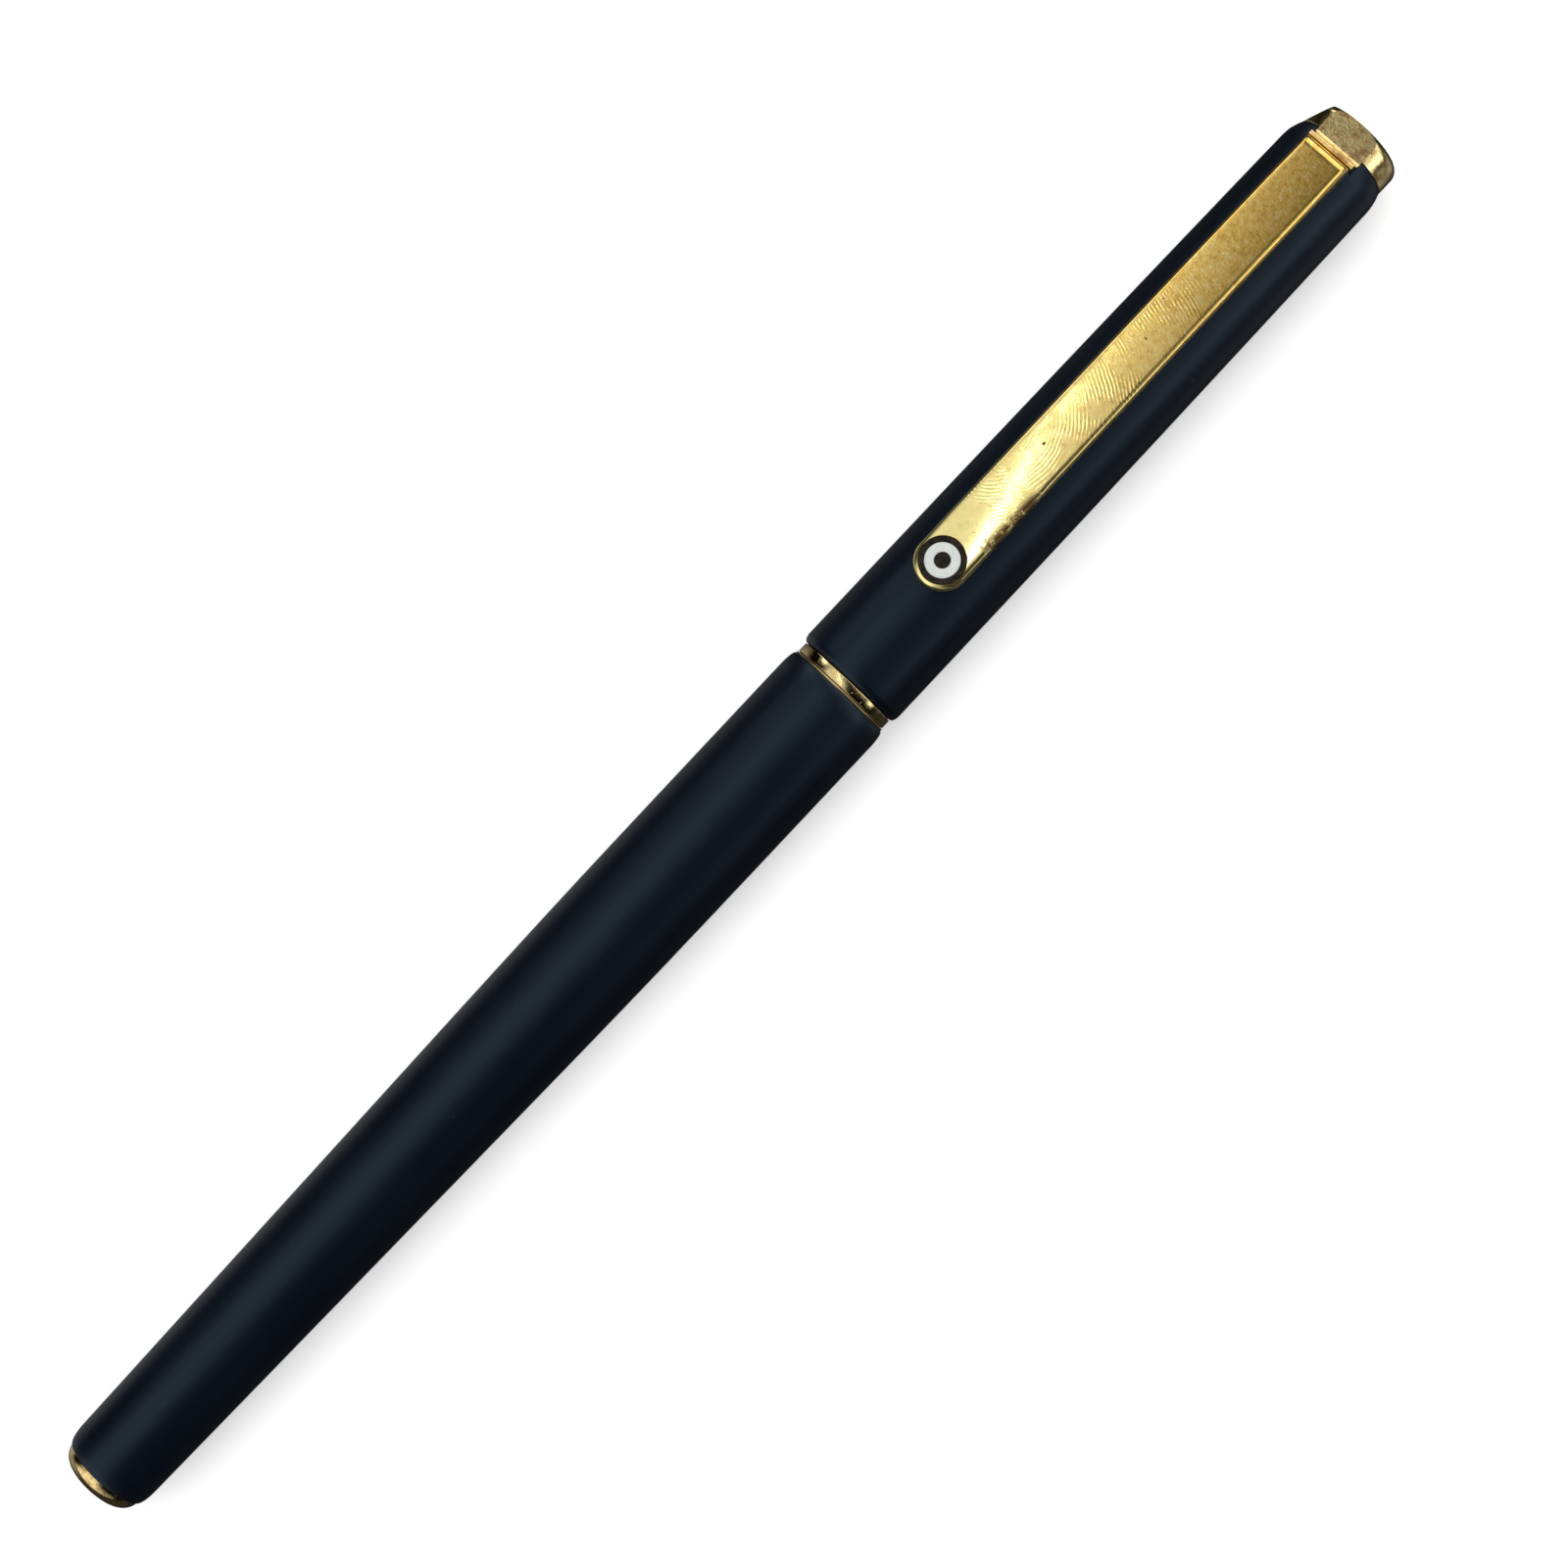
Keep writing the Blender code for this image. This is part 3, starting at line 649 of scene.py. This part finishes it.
def make_clip():
    """An outline with one round end, pulled up to a bar with eased edges, then bowed, crowned and stepped.
    Its last millimetre runs down through the cap's wall as a leg, and its end rolls off ahead of the rib."""
    start()
    leg_start, leg_end, leg_width, leg_foot = 130.2, 131.2, 2.2, 2.36
    roll_start, roll_radius = 130.7, 0.75
    step_start, step_length, step_height = 128.9, 0.7, 4.38
    pad_end, pad_half_length, pad_depth = 93.6, 2.3, 0.40
    thick, crown, edge, steps = 1.0, 0.05, 0.4, 8
    half, round_s = CLIP_HALF_WIDTH, CLIP_TIP + CLIP_HALF_WIDTH
    centre = at(round_s)
    bpy.ops.mesh.primitive_circle_add(vertices=96, radius=half * MM, fill_type="NOTHING", location=centre)
    arm = bpy.context.object
    bpy.ops.object.transform_apply(location=True)
    bpy.ops.object.mode_set(mode="EDIT")
    bpy.ops.mesh.select_all(action="DESELECT")
    bpy.ops.object.mode_set(mode="OBJECT")
    for vert in arm.data.vertices:
        vert.select = vert.co.x > centre.x + 1e-7
    bpy.ops.object.mode_set(mode="EDIT")
    bpy.ops.mesh.delete(type="VERT")
    bpy.ops.object.mode_set(mode="OBJECT")
    for vert in arm.data.vertices:
        vert.select = abs(vert.co.x - centre.x) < 1e-6
    bpy.ops.object.mode_set(mode="EDIT")
    bpy.ops.mesh.extrude_region_move(TRANSFORM_OT_translate={"value": ((CLIP_ROOT - round_s) * MM, 0, 0)})
    bpy.ops.mesh.select_all(action="SELECT")
    bpy.ops.mesh.edge_face_add()
    bpy.ops.mesh.normals_make_consistent(inside=False)
    bpy.ops.mesh.extrude_region_move(TRANSFORM_OT_translate={"value": (0, 0, (thick - edge) * MM)})
    for i in range(steps):
        a, b = math.pi / 2 * i / steps, math.pi / 2 * (i + 1) / steps
        bpy.ops.mesh.inset(thickness=edge * (math.cos(a) - math.cos(b)) * MM, depth=0)
        bpy.ops.transform.translate(value=(0, 0, edge * (math.sin(b) - math.sin(a)) * MM))
    bpy.ops.mesh.select_all(action="SELECT")
    stations = [round_s + 1.2 * i for i in range(33)]
    stations += [leg_start, 130.5, 130.65, 130.8, 130.92, 131.04, 131.12, leg_end]
    for s in stations:
        bpy.ops.mesh.bisect(plane_co=at(s), plane_no=(1, 0, 0), use_fill=False)
        bpy.ops.mesh.select_all(action="SELECT")
    for y in (-1.5, -1.1, -0.75, -0.35, 0, 0.35, 0.75, 1.1, 1.5):
        bpy.ops.mesh.bisect(plane_co=at(100, y), plane_no=(0, 1, 0), use_fill=False)
        bpy.ops.mesh.select_all(action="SELECT")
    bpy.ops.mesh.normals_make_consistent(inside=False)
    bpy.ops.mesh.select_all(action="DESELECT")
    bpy.ops.mesh.select_mode(type="FACE")
    bpy.ops.object.mode_set(mode="OBJECT")
    for face in arm.data.polygons:
        s = (face.center.x - TAIL) / MM
        inside = leg_start < s < leg_end and abs(face.center.y) < leg_width / 2 * MM
        face.select = face.normal.z < -0.9 and inside
    bpy.ops.object.mode_set(mode="EDIT")
    bpy.ops.mesh.extrude_region_move(TRANSFORM_OT_translate={"value": (0, 0, -3.0 * MM)})
    bpy.ops.mesh.select_mode(type="VERT")
    bpy.ops.object.mode_set(mode="OBJECT")
    for vert in arm.data.vertices:
        s, y, z = (vert.co.x - TAIL) / MM, vert.co.y / MM, (vert.co.z - AXIS) / MM
        if z < -0.5:
            vert.co.z = at(0, 0, leg_foot).z
            continue
        along = (CLIP_ROOT - s) / (CLIP_ROOT - CLIP_TIP)
        top = clip_face(s) - crown + crown * (1 - (y / half) ** 2)
        if s > roll_start:
            past = min(0.96 * roll_radius, 0.9 * (s - roll_start))
            top -= roll_radius - math.sqrt(roll_radius**2 - past**2)
        bottom = clip_face(s) - (thick - 0.2 * along) - crown
        if s < pad_end:
            pad = max(0.0, 1 - ((s - BADGE) / pad_half_length) ** 2)
            bottom -= pad_depth * pad * (1 - 0.6 * (y / half) ** 2)
        if s > step_start:
            bottom += (step_height - bottom) * min(1.0, (s - step_start) / step_length)
        vert.co.z = at(0, 0, bottom + (top - bottom) * max(0.0, min(1.0, z))).z
        if abs(y) > 1.12:
            vert.co.y *= 0.966 + 0.058 * along
    start()
    pocket = 0.36
    place = at(BADGE, 0, clip_face(BADGE) - pocket + 1)
    radius = (BADGE_RADIUS + 0.03) * MM
    bpy.ops.mesh.primitive_cylinder_add(vertices=96, radius=radius, depth=2 * MM, location=place)
    cut(arm, bpy.context.object)
    finish(arm, "spring_clip", CLIP_GOLD, None, ["clip_arm"], 35)
    at(118)
    at(130.0)
    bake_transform(arm)
    make_badge()


def make_badge():
    """A dark disc let into the clip, with a pale washer-shaped ring let into the disc."""
    face = clip_face(BADGE)
    start()
    place = at(BADGE, 0, face - 0.35)
    bpy.ops.mesh.primitive_circle_add(vertices=96, radius=BADGE_RADIUS * MM, fill_type="NGON", location=place)
    disc = bpy.context.object
    bpy.ops.object.mode_set(mode="EDIT")
    bpy.ops.mesh.select_all(action="SELECT")
    bpy.ops.mesh.extrude_region_move(TRANSFORM_OT_translate={"value": (0, 0, 0.33 * MM)})
    for inwards, upwards in ((0.03, 0.02), (0.4, 0.0), (0.02, -0.12), (0.73, 0.0), (0.02, 0.12)):
        bpy.ops.mesh.inset(thickness=inwards * MM, depth=0)
        bpy.ops.transform.translate(value=(0, 0, upwards * MM))
    bpy.ops.mesh.select_all(action="SELECT")
    bpy.ops.mesh.normals_make_consistent(inside=False)
    finish(disc, "badge_dark_disc", ENAMEL, "clip", ["badge_disc"])

    start()
    place = at(BADGE, 0, face - 0.05)
    bpy.ops.mesh.primitive_torus_add(
        major_segments=96,
        minor_segments=16,
        major_radius=0.965 * MM,
        minor_radius=0.355 * MM,
        location=place,
    )
    ring = bpy.context.object
    bpy.ops.object.mode_set(mode="EDIT")
    bpy.ops.mesh.select_all(action="SELECT")
    bpy.ops.transform.resize(value=(1, 1, 0.18), center_override=place)
    finish(ring, "badge_pale_ring", INLAY, "clip", ["badge_inlay"], 60)


# ---------------------------------------------------------------- floor, light and camera


def make_stage():
    """A pale floor that lights the pen softly from below and isn't mirrored in it."""
    start()
    bpy.ops.mesh.primitive_plane_add(size=6, location=(0, 0, 0))
    floor = bpy.context.object
    floor.name = "floor"
    paper = Finish(
        "pale_floor",
        Base_Color=(0.9, 0.9, 0.9, 1),
        Roughness=0.9,
        Specular_IOR_Level=0.0,
        Emission_Strength=0.3,
    )
    floor.data.materials.append(paper.material)
    floor.visible_glossy = False


def make_sky():
    """The soft studio that the polished pieces mirror. x, y and z are the parts of a mirrored direction.

    panel: a broad panel overhead that fades out towards the cap's top
    tube: a narrow bright tube along the panel's edge
    far_tube: a second tube, low on the +Y side, for the clip's far edge
    side, side_tube: a panel on the -Y side past the cap's top, with a tube along its foot
    end, ends: a small panel past the cap's top, and a dim fill past both ends of the pen
    table: the pale table below, dark under the pen's middle
    """
    world = bpy.data.worlds.new("studio")
    bpy.context.scene.world = world
    world.use_nodes = True
    sky = Nodes(world.node_tree)
    x, y, z = sky.parts(sky.node("ShaderNodeTexCoord", output="Generated"))
    slant = x - 0.5 * y
    near = y * -1
    above = z.fade(-0.05, 0.1)

    panel = 0.88 - 0.80 * slant.fade(-0.01, 0.25)
    panel = panel * y.fade(-0.46, -0.04) * (1 - y.fade(0.45, 0.8)) * above
    tube = 7.0 * slant.fade(-0.009, -0.003) * (1 - slant.fade(0.000, 0.007))
    tube = tube * y.fade(-0.12, -0.04) * (1 - y.fade(0.27, 0.33)) * above
    far_tube = 2.0 * y.fade(0.70, 0.76) * (1 - y.fade(0.86, 0.92)) * x.fade(0.03, 0.12) * above
    side = 1.1 * x.fade(0.06, 0.34) * near.fade(0.3, 0.65) * z.fade(0.0, 0.3)
    side_tube = 1.4 * x.fade(0.0, 0.15) * near.fade(0.84, 0.9)
    side_tube = side_tube * z.fade(0.02, 0.12) * (1 - z.fade(0.3, 0.4))
    end = 1.0 * x.fade(0.42, 0.55) * (1 - abs(y).fade(0.35, 0.6)) * above
    ends = 0.35 * abs(x).fade(0.5, 0.8) * above
    behind = 0.34 * y.fade(0.2, 0.7) * (1 - x.fade(-0.1, 0.15))
    past_cap = 0.3 * x.fade(0.1, 0.3) * near.fade(0.3, 0.7)
    table = (1 - z.fade(-0.3, 0.0)) * (0.03 + behind + past_cap)

    mirrored = 0.002 + panel + tube + far_tube + side + side_tube + end + ends + table
    light = world.node_tree.nodes["Background"]
    light.inputs["Color"].default_value = (1.0, 1.0, 1.0, 1)
    world.node_tree.links.new(mirrored.socket, light.inputs["Strength"])


def make_light():
    """One large square panel straight overhead, which casts the soft light but isn't mirrored."""
    data = bpy.data.lights.new("overhead_panel", "AREA")
    data.shape = "SQUARE"
    data.size = 3.2
    data.energy = 21.0
    light = bpy.data.objects.new("overhead_panel", data)
    bpy.context.scene.collection.objects.link(light)
    light.location = at(PEN_LENGTH / 2) + Vector((0, 0, 1.2))
    light.visible_glossy = False
    bpy.context.scene.view_settings.view_transform = "Standard"


def make_camera():
    """Nearly square on, leaning a little to the -Y side, with the pen running up to the right."""
    lean, roll, distance = math.radians(9.75), math.radians(46.81), 247 * MM
    aim, off_centre, view_width, film = 71.8, 1.72 * MM, 114.5311 * MM, 36
    towards = Vector((0, -math.sin(lean), math.cos(lean)))
    across = Vector((0, -math.cos(lean), -math.sin(lean)))
    along = Vector((1, 0, 0))
    right = math.cos(roll) * along + math.sin(roll) * across
    up = math.sin(roll) * along - math.cos(roll) * across
    data = bpy.data.cameras.new("camera")
    data.sensor_width = film
    data.lens = film * distance / view_width
    data.clip_start = 0.01
    camera = bpy.data.objects.new("camera", data)
    bpy.context.scene.collection.objects.link(camera)
    place = at(aim) + across * off_centre + towards * distance
    camera.matrix_world = Matrix.Translation(place) @ Matrix((right, up, towards)).transposed().to_4x4()
    bpy.context.scene.camera = camera


make_barrel()
make_refill()
make_section()
make_cap()
make_clip()
make_stage()
make_sky()
make_light()
make_camera()
bpy.context.view_layer.update()
